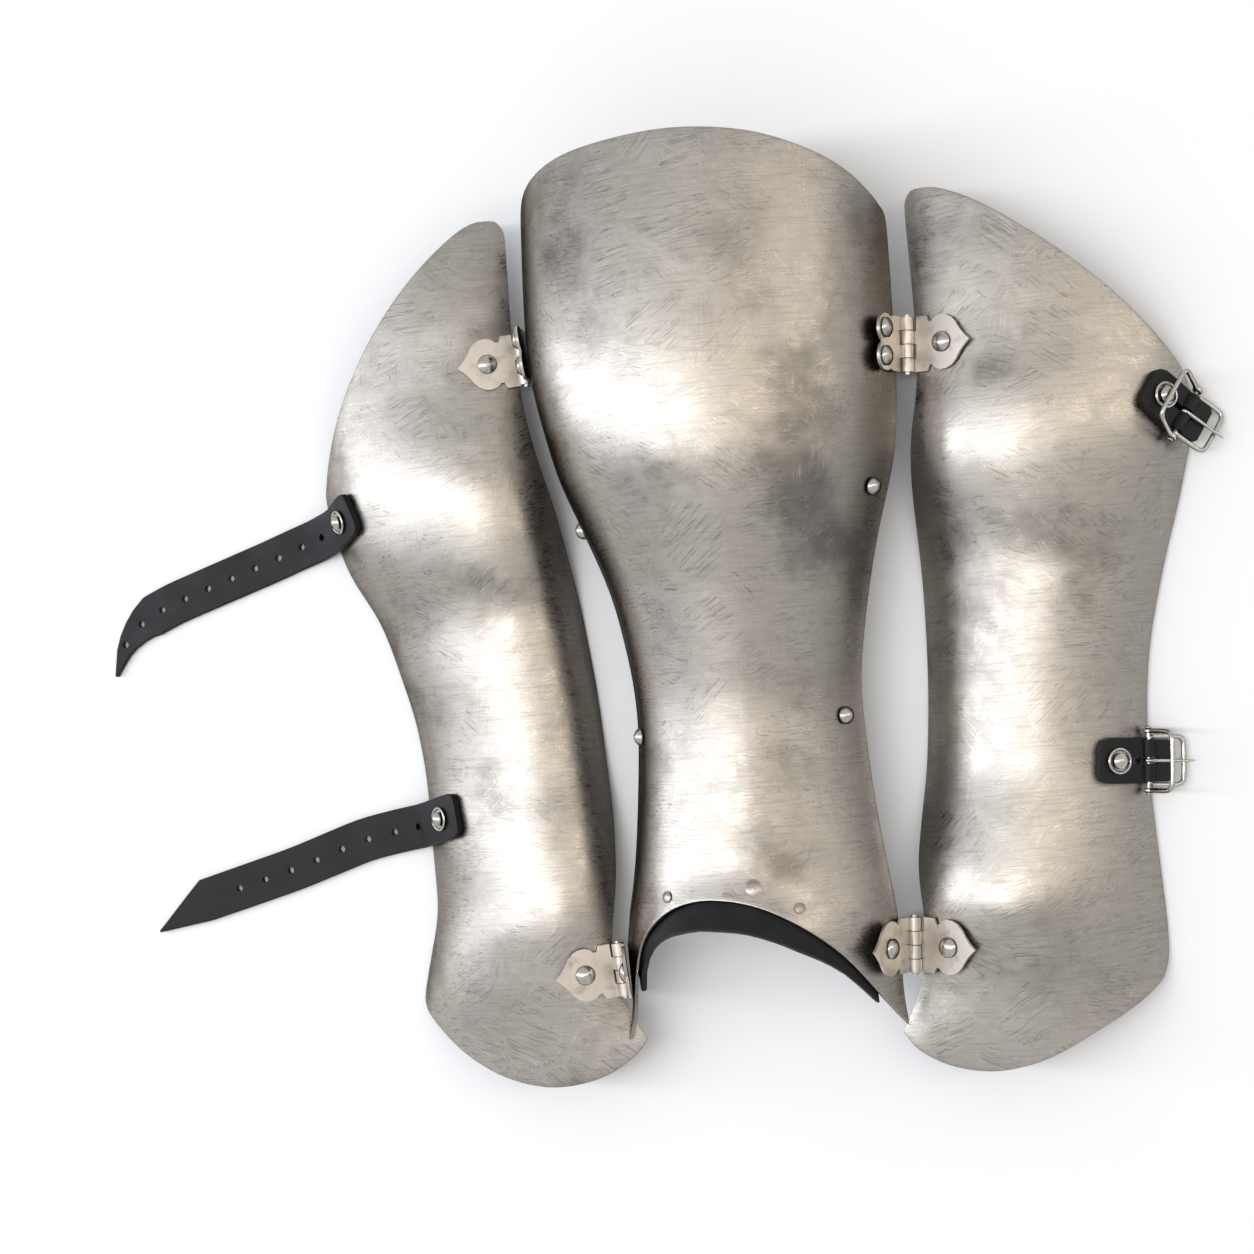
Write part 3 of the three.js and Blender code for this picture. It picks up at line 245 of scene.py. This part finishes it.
def strokes(tree, place, patch_mm, line_mm, seed, spread):
    """Brush strokes: fine lines whose direction changes from patch to patch, within a spread."""
    shifted = add(
        tree, "ShaderNodeMapping", {"Location": (seed, 2 * seed, 0.5 * seed)}, {"Vector": place}
    ).outputs["Vector"]
    patch = add(
        tree, "ShaderNodeTexVoronoi",
        {"Scale": 1 / (patch_mm * MM), "Smoothness": 0.35, "Randomness": 1.0},
        {"Vector": shifted}, feature="SMOOTH_F1",
    )
    turn = add(tree, "ShaderNodeSeparateColor", links={"Color": patch.outputs["Color"]})
    angle = add(
        tree, "ShaderNodeMapRange", {"To Min": -spread, "To Max": spread},
        {"Value": turn.outputs["Red"]},
    )
    turned = add(
        tree, "ShaderNodeVectorRotate", links={"Vector": shifted, "Angle": angle.outputs["Result"]},
        rotation_type="Z_AXIS",
    )
    drawn_out = scaled(tree, turned.outputs["Vector"], (0.04, 1.0, 0.3))
    return noise(tree, drawn_out, line_mm, 3.0, Roughness=0.6, Distortion=0.6)


def level_share(tree, steep, level):
    """How level a surface lies in its own piece: 0 on steep flanks and edges, 1 on level faces."""
    normal = add(tree, "ShaderNodeTexCoord").outputs["Normal"]
    upward = add(tree, "ShaderNodeSeparateXYZ", links={"Vector": normal}).outputs["Z"]
    return fade(tree, upward, (0.0, 1.0), over=(steep, level))


def round_patch(tree, place, centre_mm, radius_mm):
    """A round area, strongest at its middle, that fades out at its radius."""
    away = add(
        tree, "ShaderNodeVectorMath", {1: [c * MM for c in centre_mm]}, {0: place},
        operation="DISTANCE",
    ).outputs["Value"]
    return fade(tree, away, (1.0, 0.0), over=(0.0, radius_mm * MM))


def darker_patches(tree, place, cloud):
    """The plates' darker patches all together, with ragged edges from the clouding."""
    total, *others = [round_patch(tree, place, *spot) for spot in DARK_PATCHES]
    for spot in others:
        total = add(
            tree, "ShaderNodeMath", links={0: total, 1: spot}, operation="ADD"
        ).outputs["Value"]
    ragged = add(
        tree, "ShaderNodeMath", {1: 0.24}, {0: total, 2: cloud}, operation="MULTIPLY_ADD"
    ).outputs["Value"]
    return fade(tree, ragged, (0.0, 1.0), over=(0.5, 0.8))


def brushed_steel(settings):
    """Mild steel sheet, planished over stakes and brushed by hand with an abrasive pad.

    The pad leaves short curved strokes over finer lines across the plate, so highlights are long
    and soft, with bright hairs in them. The steep flanks and the cut edges are painted darker, as
    painted shade, and each plate has a few darker patches at listed places.
    """
    material, tree, shader, place = new_material(
        "hand_brushed_mild_steel", {"Metallic": 1.0, "Specular Tint": linear("#7d7a76")}
    )
    bright_stroke = linear("#e0dcd5")
    dark_stroke = linear("#57534e")
    grain_shade = linear("#6b6762")
    # Painted shade for the steep flanks and the cut edges.
    painted_flank_shade = linear("#1f1d1b")
    cloud = noise(tree, place, 45, 4.0, Roughness=0.6)
    long_strokes = strokes(tree, place, patch_mm=26, line_mm=0.6, seed=0.3, spread=0.9)
    short_strokes = strokes(tree, place, patch_mm=15, line_mm=0.45, seed=1.1, spread=1.5)
    # Lines across the plate, drawn 0.7 mm apart: the real ones are finer than can be seen.
    grain = noise(tree, scaled(tree, place, (0.05, 1.0, 0.05)), 0.7, 2.0)

    base = mix_colours(
        tree, darker_patches(tree, place, cloud), settings.steel, settings.steel_cloud
    )
    short_share = fade(tree, short_strokes, (0.0, 0.5), over=(0.5, 0.8))
    long_share = fade(tree, long_strokes, (0.35, 0.0), over=(0.28, 0.48))
    grain_share = fade(tree, grain, (0.25, 0.0), over=(0.3, 0.55))
    base = mix_colours(tree, short_share, base, bright_stroke)
    base = mix_colours(tree, long_share, base, dark_stroke)
    base = mix_colours(tree, grain_share, base, grain_shade)
    # Painted shade: steep flanks and cut edges fade to a near-black colour, by how far they turn
    # from level.
    base = mix_colours(tree, level_share(tree, 0.2, 0.85), painted_flank_shade, base)
    tree.links.new(base, shader.inputs["Base Color"])
    sheen = fade(tree, long_strokes, (0.24, 0.38), over=(0.3, 0.7))
    tree.links.new(sheen, shader.inputs["Roughness"])

    fine = bump(tree, 0.12, 0.1, grain)
    medium = bump(tree, 0.18, 0.15, short_strokes, over=fine)
    coarse = bump(tree, 0.16, 0.2, long_strokes, over=medium)
    hammered = bump(tree, 0.3, 1.0, noise(tree, place, 34, 1.5), over=coarse)
    tree.links.new(hammered, shader.inputs["Normal"])
    return material


def satin_nickel(settings):
    """Nickel-plated pressed steel, tumbled: a warm, even satin with a few handling marks."""
    material, tree, shader, place = new_material("satin_nickel_plate", {"Metallic": 1.0})
    wear = noise(tree, place, 6, 3.0)
    tarnish = fade(tree, wear, (0.0, 0.6), over=(0.5, 0.8))
    base = mix_colours(tree, tarnish, settings.nickel, linear("#8f867b"))
    # Painted shade: faces turned away from up, the sides of leaves and knuckles, are painted dark.
    base = mix_colours(tree, level_share(tree, 0.0, 0.3), linear("#4a453f"), base)
    tree.links.new(base, shader.inputs["Base Color"])
    sheen = fade(tree, wear, (0.34, 0.44), over=(0.3, 0.7))
    tree.links.new(sheen, shader.inputs["Roughness"])
    return material


def polished_nickel(settings, name, dulled):
    """Nickel-plated wire and rivet heads, polished in a barrel: bright, with dull spots of wear."""
    material, tree, shader, place = new_material(
        name, {"Metallic": 1.0, "Specular Tint": linear("#6a6762")}
    )
    wear = noise(tree, place, 2.5, 4.0)
    spots = fade(tree, wear, (0.0, dulled), over=(0.45, 0.75))
    base = mix_colours(tree, spots, settings.polished, linear("#8d8882"))
    # Painted shade: steep sides of rivet heads, washers and wires are painted dark.
    base = mix_colours(tree, level_share(tree, 0.1, 0.6), linear("#2e2b28"), base)
    tree.links.new(base, shader.inputs["Base Color"])
    sheen = fade(tree, wear, (0.2, 0.34), over=(0.3, 0.7))
    tree.links.new(sheen, shader.inputs["Roughness"])
    return material


def bridle_leather(settings):
    """Vegetable-tanned cowhide, dyed black and waxed, with its cut edges burnished.

    Fine creased grain breaks up a soft sheen. Surfaces turned from up are blacker: the cut
    edges' burnished dye, and painted shade on the sides and on tilted stretches.
    """
    material, tree, shader, place = new_material(
        "waxed_bridle_leather", {"Specular IOR Level": 0.28}
    )
    # Pores and creases drawn about 1 mm apart, a little coarser than cowhide's, so that they show.
    creases = add(
        tree, "ShaderNodeTexVoronoi", {"Scale": 1 / (1.1 * MM), "Randomness": 1.0},
        {"Vector": place}, feature="DISTANCE_TO_EDGE",
    ).outputs["Distance"]
    pores = noise(tree, place, 0.9, 4.0, Roughness=0.65)
    handling = noise(tree, place, 14, 3.0)
    rubbed = fade(tree, handling, (0.0, 1.0), over=(0.35, 0.7))
    face = mix_colours(tree, rubbed, settings.hide, linear("#19191a"))
    # Partly painted shade: every leather surface turned from up, cut edges and stretches tilted on
    # the plates, takes the blacker edge colour.
    base = mix_colours(tree, level_share(tree, 0.35, 0.8), settings.hide_edge_and_shade, face)
    tree.links.new(base, shader.inputs["Base Color"])
    sheen = fade(tree, handling, (0.42, 0.58), over=(0.3, 0.7))
    tree.links.new(sheen, shader.inputs["Roughness"])
    cells = bump(tree, 0.25, 0.12, fade(tree, creases, (0.0, 1.0), over=(0.0, 0.25)))
    grain = bump(tree, 0.35, 0.15, pores, over=cells)
    tree.links.new(grain, shader.inputs["Normal"])
    return material


def studio_paper(settings):
    """Matt white background paper, with the faintest mottling."""
    material, tree, shader, place = new_material("matt_background_paper", {"Roughness": 0.9})
    mottle = add(tree, "ShaderNodeTexNoise", {"Scale": 9.0, "Detail": 2.0}, {"Vector": place})
    base = mix_colours(tree, mottle.outputs["Fac"], settings.floor, linear("#f7f7f6"))
    tree.links.new(base, shader.inputs["Base Color"])
    return material


# ---------------------------------------------------------------- shaping


def merged_copy(node):
    """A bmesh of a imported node, with its loose triangles joined up."""
    shape = bmesh.new()
    shape.from_mesh(frame["nodes"][node].data)
    bmesh.ops.remove_doubles(shape, verts=shape.verts, dist=1e-6)
    return shape


def four_sided_copy(node):
    """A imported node's copy, with its triangles joined in pairs where they lie well together."""
    shape = merged_copy(node)
    bmesh.ops.join_triangles(
        shape, faces=shape.faces, angle_face_threshold=math.radians(JOIN_BEND_DEGREES),
        angle_shape_threshold=math.radians(JOIN_SKEW_DEGREES),
    )
    return shape


def dissolved_copy(node, degrees):
    """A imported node's copy, with the edges that bend less than an angle taken out."""
    shape = merged_copy(node)
    bmesh.ops.dissolve_limit(
        shape, angle_limit=math.radians(degrees), verts=shape.verts, edges=shape.edges,
        use_dissolve_boundaries=False,
    )
    return shape


def round_edges(shape, degrees, radius, segments):
    """Rounds off every edge that is sharper than an angle."""
    least = math.radians(degrees)
    sharp = [e for e in shape.edges if e.is_manifold and e.calc_face_angle() > least]
    bmesh.ops.bevel(
        shape, geom=sharp, offset=radius, offset_type="OFFSET", affect="EDGES",
        segments=segments, profile=0.5, material=-1, clamp_overlap=True,
    )


def finish_piece(name, shape, material, body, replaced=(), smooth_degrees=35):
    """Makes the finished object, smooth up to an angle, with its material, rides it on its body,
    and hides the nodes it replaces.
    """
    for face in shape.faces:
        face.smooth = True
    mesh = bpy.data.meshes.new(name)
    shape.to_mesh(mesh)
    shape.free()
    mesh.set_sharp_from_angle(angle=math.radians(smooth_degrees))
    piece = bpy.data.objects.new(name, mesh)
    bpy.context.scene.collection.objects.link(piece)
    mesh.materials.append(material)
    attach(piece, body)
    if replaced:
        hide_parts(*replaced)
    return piece


def keep_flat(piece):
    """Shades a piece's broad faces flat, so that only its rounded edges catch the light."""
    flat = piece.modifiers.new("Flat faces", "WEIGHTED_NORMAL")
    flat.mode = "FACE_AREA"
    flat.weight = 100
    flat.keep_sharp = True


def keep_round(piece):
    """Divides a piece's faces into smaller ones along a smooth curve."""
    smooth = piece.modifiers.new("Smooth", "SUBSURF")
    smooth.levels = SUBDIVISIONS
    smooth.render_levels = SUBDIVISIONS


def body_of_node(node):
    """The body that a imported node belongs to."""
    for body, members in frame["record"]["behaviour"]["bodies"].items():
        if node in members:
            return body
    raise RuntimeError(f"no body holds {node}")


def rivet_seat(node):
    """The middle of a domed head's flat base, its outward direction, radius and height."""
    shape = merged_copy(node)
    most = max(len(v.link_edges) for v in shape.verts)
    poles = [v for v in shape.verts if len(v.link_edges) == most]
    if len(poles) != 2:
        raise RuntimeError(f"{node} has no clear base and top")
    poles.sort(key=lambda v: max(e.calc_length() for e in v.link_edges))
    top, base = poles[0].co.copy(), poles[1].co.copy()
    radius = max(e.calc_length() for e in poles[1].link_edges)
    shape.free()
    return base, (top - base).normalized(), radius, (top - base).length


def standing(point, direction):
    """A placement whose Z runs along a direction from a point."""
    turn = direction.to_track_quat("Z", "Y").to_matrix().to_4x4()
    return Matrix.Translation(point) @ turn


def turned_shape(profile, segments):
    """A closed round shape spun from a profile that starts and ends on the Z axis."""
    shape = bmesh.new()
    corners = [shape.verts.new((x, 0, z)) for x, z in profile]
    edges = [shape.edges.new(pair) for pair in zip(corners, corners[1:])]
    bmesh.ops.spin(
        shape, geom=corners + edges, cent=(0, 0, 0), axis=(0, 0, 1), dvec=(0, 0, 0),
        angle=2 * math.pi, steps=segments, use_merge=True,
    )
    bmesh.ops.remove_doubles(shape, verts=shape.verts, dist=1e-7)
    bmesh.ops.recalc_face_normals(shape, faces=shape.faces)
    return shape


def domed_profile(radius, height, foot):
    """A domed head's outline: a short upright foot, then a round top."""
    rise = height - foot
    ball = (radius**2 + rise**2) / (2 * rise)
    sweep = math.asin(min(1.0, radius / ball))
    turns = [sweep * (1 - i / DOME_STEPS) for i in range(DOME_STEPS)]
    top = [(ball * math.sin(t), foot + rise - ball * (1 - math.cos(t))) for t in turns]
    return [(0, 0), (radius * 0.97, 0), (radius, 0.3 * foot), *top, (0, height)]


def add_shape(target, shape, placement):
    """Adds one shape to another, at a placement."""
    bmesh.ops.transform(shape, matrix=placement, verts=shape.verts)
    spare = bpy.data.meshes.new("spare")
    shape.to_mesh(spare)
    shape.free()
    target.from_mesh(spare)
    bpy.data.meshes.remove(spare)


# ---------------------------------------------------------------- pieces


def make_plate(node, settings, material):
    """A plate's copy, with its rim filed round and its faces made smooth."""
    shape = four_sided_copy(node)
    round_edges(shape, 50, settings.sheet_edge, 2)
    keep_round(
        finish_piece(
            f"{node}_sheet", shape, material, body_of_node(node), (node,), 60
        )
    )


def make_head(name, node, foot, material):
    """A turned head in place of a packed rivet."""
    base, out, radius, height = rivet_seat(node)
    head = turned_shape(domed_profile(radius, height, foot), HEAD_SEGMENTS)
    shape = bmesh.new()
    add_shape(shape, head, standing(base, out))
    finish_piece(name, shape, material, body_of_node(node), (node,), 50)


def rivets_through(plate):
    """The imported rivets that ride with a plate."""
    body = body_of_node(plate)
    return [n for n in frame["nodes"] if "rivet" in n and body_of_node(n) == body]


def make_tails(plate, settings, material):
    """Peened tails of the rivets on the plate's hollow side."""
    skin = merged_copy(plate)
    skin.normal_update()
    tree = BVHTree.FromBMesh(skin)
    shape = bmesh.new()
    for node in rivets_through(plate):
        base, out, _, _ = rivet_seat(node)
        hit, _, _, _ = tree.ray_cast(base - out * SEARCH_START, out, SEARCH_REACH)
        if hit is None:
            continue
        profile = domed_profile(settings.tail_radius, TAIL_HEIGHT, TAIL_FOOT)
        tail = turned_shape(profile, TAIL_SEGMENTS)
        add_shape(shape, tail, standing(hit + out * TAIL_SUNK, -out))
    skin.free()
    finish_piece(f"{plate}_rivet_tails", shape, material, body_of_node(plate))


def make_washer(node, rivet, material):
    """A dished washer: a bright rolled rim round a sunk ring, under a domed head."""
    _, out, _, _ = rivet_seat(rivet)
    shape = merged_copy(node)
    middle = sum((v.co for v in shape.verts), Vector()) / len(shape.verts)
    arms = [v.co - middle for v in shape.verts]
    radius = max((arm - out * arm.dot(out)).length for arm in arms)
    depth = 2 * max(abs(arm.dot(out)) for arm in arms)
    shape.free()
    profile = [(across * radius, up * depth) for across, up in WASHER_OUTLINE]
    ring = bmesh.new()
    add_shape(ring, turned_shape(profile, WASHER_SEGMENTS), standing(middle - out * depth / 2, out))
    finish_piece(
        f"{node}_dished", ring, material, body_of_node(node), (node,), 50
    )


def make_leaf(node, settings, material):
    """A hinge leaf's copy, with its stamped edges broken."""
    shape = dissolved_copy(node, 1)
    round_edges(shape, 45, settings.leaf_edge, 2)
    keep_flat(
        finish_piece(
            f"{node}_stamped", shape, material, body_of_node(node), (node,), 60
        )
    )


def make_band(node, settings, material):
    """A leather strap's or tab's copy, with its cut edges burnished round."""
    shape = dissolved_copy(node, 0.6)
    round_edges(shape, 32, settings.band_edge, 3)
    keep_flat(
        finish_piece(
            f"{node}_leather", shape, material, body_of_node(node), (node,), 60
        )
    )


def make_wire(node, material):
    """A wire's copy, made round without growing thinner."""
    shape = four_sided_copy(node)
    shape.normal_update()
    for vert in shape.verts:
        vert.co += vert.normal * WIRE_SWELL
    keep_round(
        finish_piece(
            f"{node}_wire", shape, material, body_of_node(node), (node,), 60
        )
    )


class GREAVE_OT_plates(bpy.types.Operator):
    """Make the shin plate and the two calf plates"""

    bl_idname = "greave.plates"
    bl_label = "Plates"

    def execute(self, context):
        settings = context.scene.greave
        steel = brushed_steel(settings)
        for node in PLATES:
            make_plate(node, settings, steel)
        for node in ARCH_RIVETS:
            make_head(f"{node}_filed", node, FILED_FOOT, steel)
        return {"FINISHED"}


class GREAVE_OT_hinges(bpy.types.Operator):
    """Make the hinges' leaves, pins and rivets"""

    bl_idname = "greave.hinges"
    bl_label = "Hinges"

    def execute(self, context):
        settings = context.scene.greave
        nickel = satin_nickel(settings)
        heads = polished_nickel(settings, "polished_rivet_steel", 0.5)
        for hinge in HINGES:
            for leaf in ("wing_leaf", "front_leaf"):
                make_leaf(f"{hinge}_{leaf}", settings, nickel)
            for slot in frame["nodes"][f"{hinge}_pin"].material_slots:
                slot.material = nickel
        for node in frame["nodes"]:
            on_hinge = "_hinge_" in node and "rivet" in node
            if on_hinge or "side_rivet" in node:
                make_head(f"{node}_head", node, HINGE_FOOT, heads)
        for plate in PLATES:
            make_tails(plate, settings, heads)
        return {"FINISHED"}


class GREAVE_OT_leather(bpy.types.Operator):
    """Make the straps, the buckle tabs and the arch's lining"""

    bl_idname = "greave.leather"
    bl_label = "Leather"

    def execute(self, context):
        settings = context.scene.greave
        leather = bridle_leather(settings)
        for node in BANDS + TABS + ("arch_liner",):
            make_band(node, settings, leather)
        return {"FINISHED"}


class GREAVE_OT_buckles(bpy.types.Operator):
    """Make the wire buckles, their tongues, and the washers and rivets on the leather"""

    bl_idname = "greave.buckles"
    bl_label = "Buckles and washers"

    def execute(self, context):
        settings = context.scene.greave
        wire = polished_nickel(settings, "polished_nickel_wire", 0.35)
        for buckle in BUCKLES:
            for part in BUCKLE_WIRES:
                make_wire(f"{buckle}_{part}", wire)
        for band in BANDS + TABS:
            make_washer(f"{band}_washer", f"{band}_rivet", wire)
            make_head(f"{band}_rivet_head", f"{band}_rivet", WASHER_FOOT, wire)
        return {"FINISHED"}


# ---------------------------------------------------------------- studio


def soft_box(name, at, size, power, colour):
    """A rectangular soft light, aimed at the middle of the greave."""
    light = bpy.data.lights.new(name, "AREA")
    light.shape = "RECTANGLE"
    light.size, light.size_y = size
    light.energy = power
    light.color = linear(colour)[:3]
    lamp = bpy.data.objects.new(name, light)
    bpy.context.scene.collection.objects.link(lamp)
    lamp.location = at
    lamp.rotation_euler = (-Vector(at)).to_track_quat("-Z", "Y").to_euler()


class GREAVE_OT_studio(bpy.types.Operator):
    """Make the paper floor, the soft lights and the camera"""

    bl_idname = "greave.studio"
    bl_label = "Studio"

    def execute(self, context):
        scene = context.scene
        studio = scene.greave_studio
        ground = bmesh.new()
        bmesh.ops.create_grid(ground, x_segments=1, y_segments=1, size=FLOOR_HALF_WIDTH)
        mesh = bpy.data.meshes.new("paper_floor")
        ground.to_mesh(mesh)
        ground.free()
        mesh.materials.append(studio_paper(studio))
        floor = bpy.data.objects.new("paper_floor", mesh)
        scene.collection.objects.link(floor)
        floor.location.z = -FLOOR_DROP

        world = bpy.data.worlds.new("studio_air")
        world.use_nodes = True
        air = world.node_tree.nodes["Background"]
        air.inputs["Color"].default_value = linear(AIR_COLOUR)
        air.inputs["Strength"].default_value = AIR_STRENGTH
        scene.world = world
        for box in SOFT_BOXES:
            soft_box(*box)

        camera = bpy.data.cameras.new("camera")
        camera.lens = studio.lens
        camera.sensor_width = SENSOR_WIDTH_MM
        eye = bpy.data.objects.new("camera", camera)
        scene.collection.objects.link(eye)
        away = (CAMERA_AT - CAMERA_AIM).normalized()
        right = CAMERA_UP.cross(away).normalized()
        turn = Matrix((right, away.cross(right), away)).transposed().to_4x4()
        eye.matrix_world = Matrix.Translation(CAMERA_AT) @ turn
        scene.camera = eye
        scene.view_settings.view_transform = "Standard"
        return {"FINISHED"}


class GREAVE_PT_panel(bpy.types.Panel):
    """Lists the greave's pieces and their settings"""

    bl_label = "Greave"
    bl_idname = "GREAVE_PT_panel"
    bl_space_type = "VIEW_3D"
    bl_region_type = "UI"
    bl_category = "Greave"

    def draw(self, context):
        for settings in (context.scene.greave, context.scene.greave_studio):
            for name in settings.__annotations__:
                self.layout.prop(settings, name)
        for operator in OPERATORS:
            self.layout.operator(operator.bl_idname)


OPERATORS = (
    GREAVE_OT_studio, GREAVE_OT_plates, GREAVE_OT_hinges, GREAVE_OT_leather, GREAVE_OT_buckles,
)
CLASSES = (GreaveSettings, StudioSettings, *OPERATORS, GREAVE_PT_panel)


def register():
    for item in CLASSES:
        bpy.utils.register_class(item)
    bpy.types.Scene.greave = bpy.props.PointerProperty(type=GreaveSettings)
    bpy.types.Scene.greave_studio = bpy.props.PointerProperty(type=StudioSettings)


def unregister():
    del bpy.types.Scene.greave_studio
    del bpy.types.Scene.greave
    for item in reversed(CLASSES):
        bpy.utils.unregister_class(item)


def main():
    register()
    bpy.ops.greave.studio()
    bpy.ops.greave.plates()
    bpy.ops.greave.hinges()
    bpy.ops.greave.leather()
    bpy.ops.greave.buckles()


if __name__ == "__main__":
    main()
